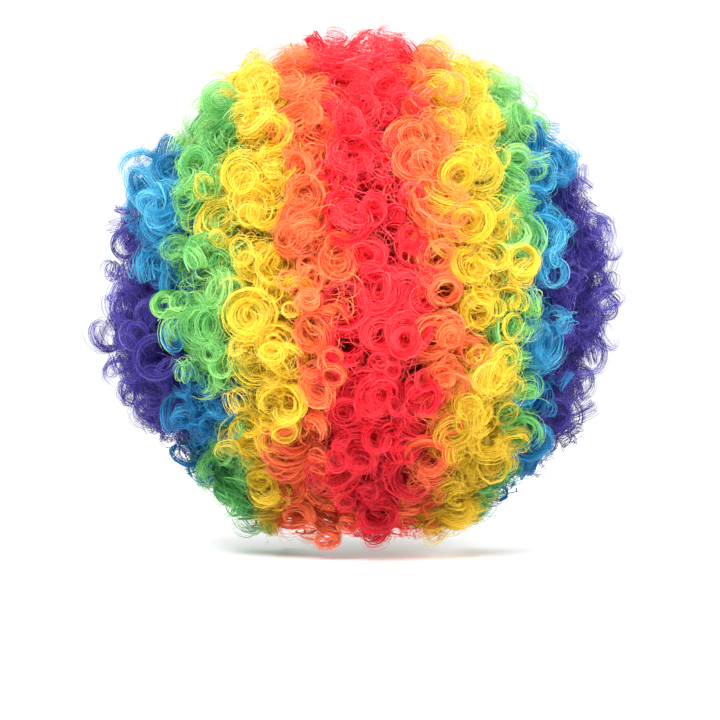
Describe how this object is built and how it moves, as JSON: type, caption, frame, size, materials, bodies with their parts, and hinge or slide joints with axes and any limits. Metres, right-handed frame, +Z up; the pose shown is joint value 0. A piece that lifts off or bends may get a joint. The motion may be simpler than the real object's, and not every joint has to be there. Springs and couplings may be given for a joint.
{
  "type": "costume wig",
  "caption": "Round curly costume wig in mirrored front-to-back colour stripes, on a stretch-net cap with ear tabs, nape elastic and hooked nape adjusters.",
  "frame": {"origin": "centre of the head opening, in the plane of the cap's rim at ear level", "axes": "+Z up through the crown, -Y towards the wearer's face, +X towards the wearer's left ear"},
  "size_m": [0.302, 0.3099, 0.293],
  "materials": {
    "hair_red": "shiny fibre",
    "hair_orange": "shiny fibre",
    "hair_yellow": "shiny fibre",
    "hair_green": "shiny fibre",
    "hair_blue": "shiny fibre",
    "hair_purple": "shiny fibre",
    "cap_net": "open stretch net",
    "cap_band": "woven tape",
    "cap_tape": "woven tape",
    "elastic": "ribbed elastic",
    "hook_plastic": "moulded",
    "label_satin": "satin"
  },
  "bodies": {
    "cap": {"adjuster_strap_left": "elastic", "adjuster_strap_right": "elastic", "care_label": "label_satin", "cross_tape_back": "cap_tape", "cross_tape_crown": "cap_tape", "cross_tape_front": "cap_tape", "crown_net": "cap_net", "ear_tab_left": "cap_band", "ear_tab_right": "cap_band", "front_band": "cap_band", "hair_blue_left": "hair_blue", "hair_blue_right": "hair_blue", "hair_green_left": "hair_green", "hair_green_right": "hair_green", "hair_orange_left": "hair_orange", "hair_orange_right": "hair_orange", "hair_purple_left": "hair_purple", "hair_purple_right": "hair_purple", "hair_red_centre": "hair_red", "hair_yellow_left": "hair_yellow", "hair_yellow_right": "hair_yellow", "hook_loops_left": "cap_tape", "hook_loops_right": "cap_tape", "nape_band": "cap_band", "nape_elastic": "elastic", "weft_blue_left": "hair_blue", "weft_blue_right": "hair_blue", "weft_green_left": "hair_green", "weft_green_right": "hair_green", "weft_orange_left": "hair_orange", "weft_orange_right": "hair_orange", "weft_purple_left": "hair_purple", "weft_purple_right": "hair_purple", "weft_red": "hair_red", "weft_yellow_left": "hair_yellow", "weft_yellow_right": "hair_yellow"},
    "hook_left": {"adjuster_hook_left": "hook_plastic"},
    "hook_right": {"adjuster_hook_right": "hook_plastic"}
  },
  "joints": [
    {"name": "left_hook_release", "type": "slide", "parent": "cap", "child": "hook_left", "axis": [-0.7867, 0.5222, -0.3292], "range_m": [0, 0.007], "stiffness_N_per_m": 40, "springref_m": -0.008},
    {"name": "right_hook_release", "type": "slide", "parent": "cap", "child": "hook_right", "axis": [0.7867, 0.5222, -0.3292], "range_m": [0, 0.007], "stiffness_N_per_m": 40, "springref_m": -0.008}
  ]
}
